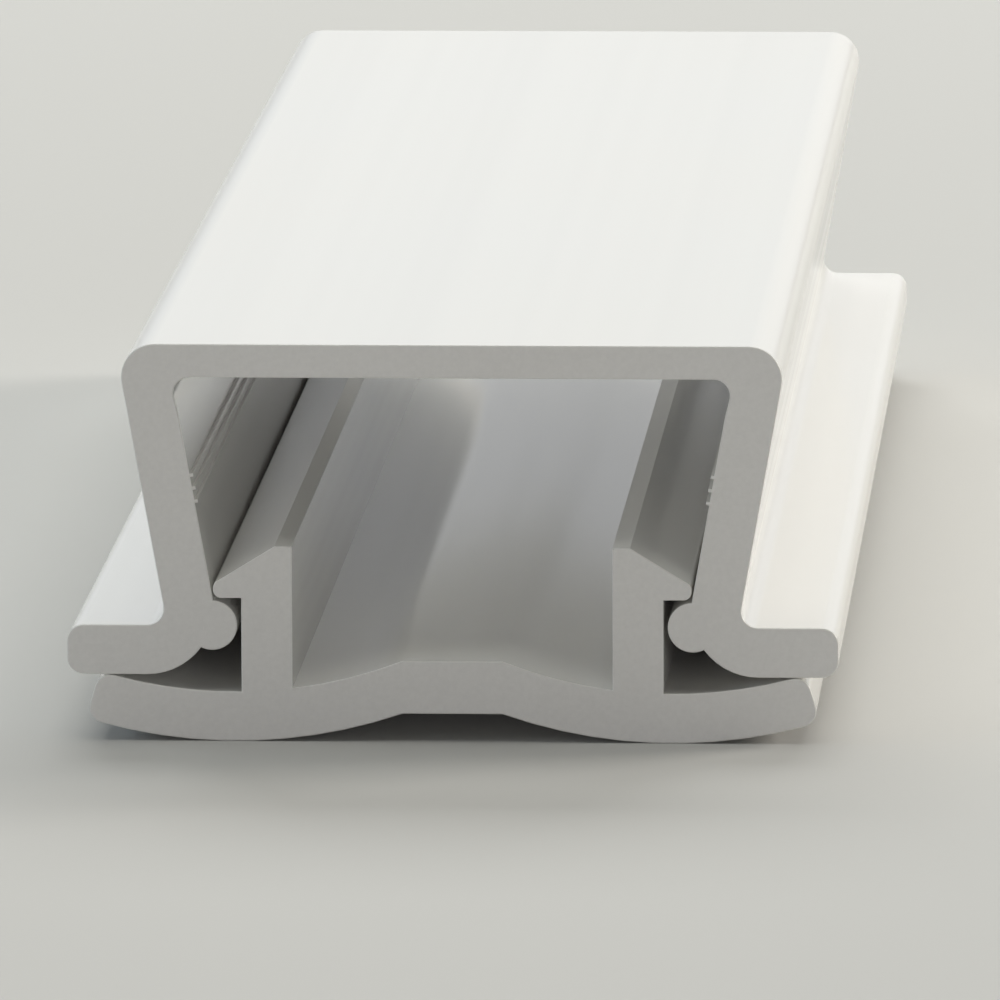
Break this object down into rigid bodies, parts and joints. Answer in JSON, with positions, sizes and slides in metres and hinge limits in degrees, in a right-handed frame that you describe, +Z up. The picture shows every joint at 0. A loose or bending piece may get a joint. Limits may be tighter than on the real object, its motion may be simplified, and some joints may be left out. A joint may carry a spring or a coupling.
{
  "type": "pvc clamping strip",
  "caption": "Clip-on hat-section cover over a clamping base: barbed legs hook over beads inside the cover, and its flanges press down on the base's curved wings.",
  "frame": {"origin": "middle of the strip's length and width, level with the lowest lines of the base's lobes", "axes": "+X across the strip, +Y along it, +Z up to the cover's top"},
  "size_m": [0.0462, 0.15, 0.024],
  "materials": {
    "white_pvc": "satin white, smooth as extruded, with dull saw-cut ends"
  },
  "bodies": {
    "root": {"cover_profile": "white_pvc", "base_profile": "white_pvc"}
  },
  "joints": []
}
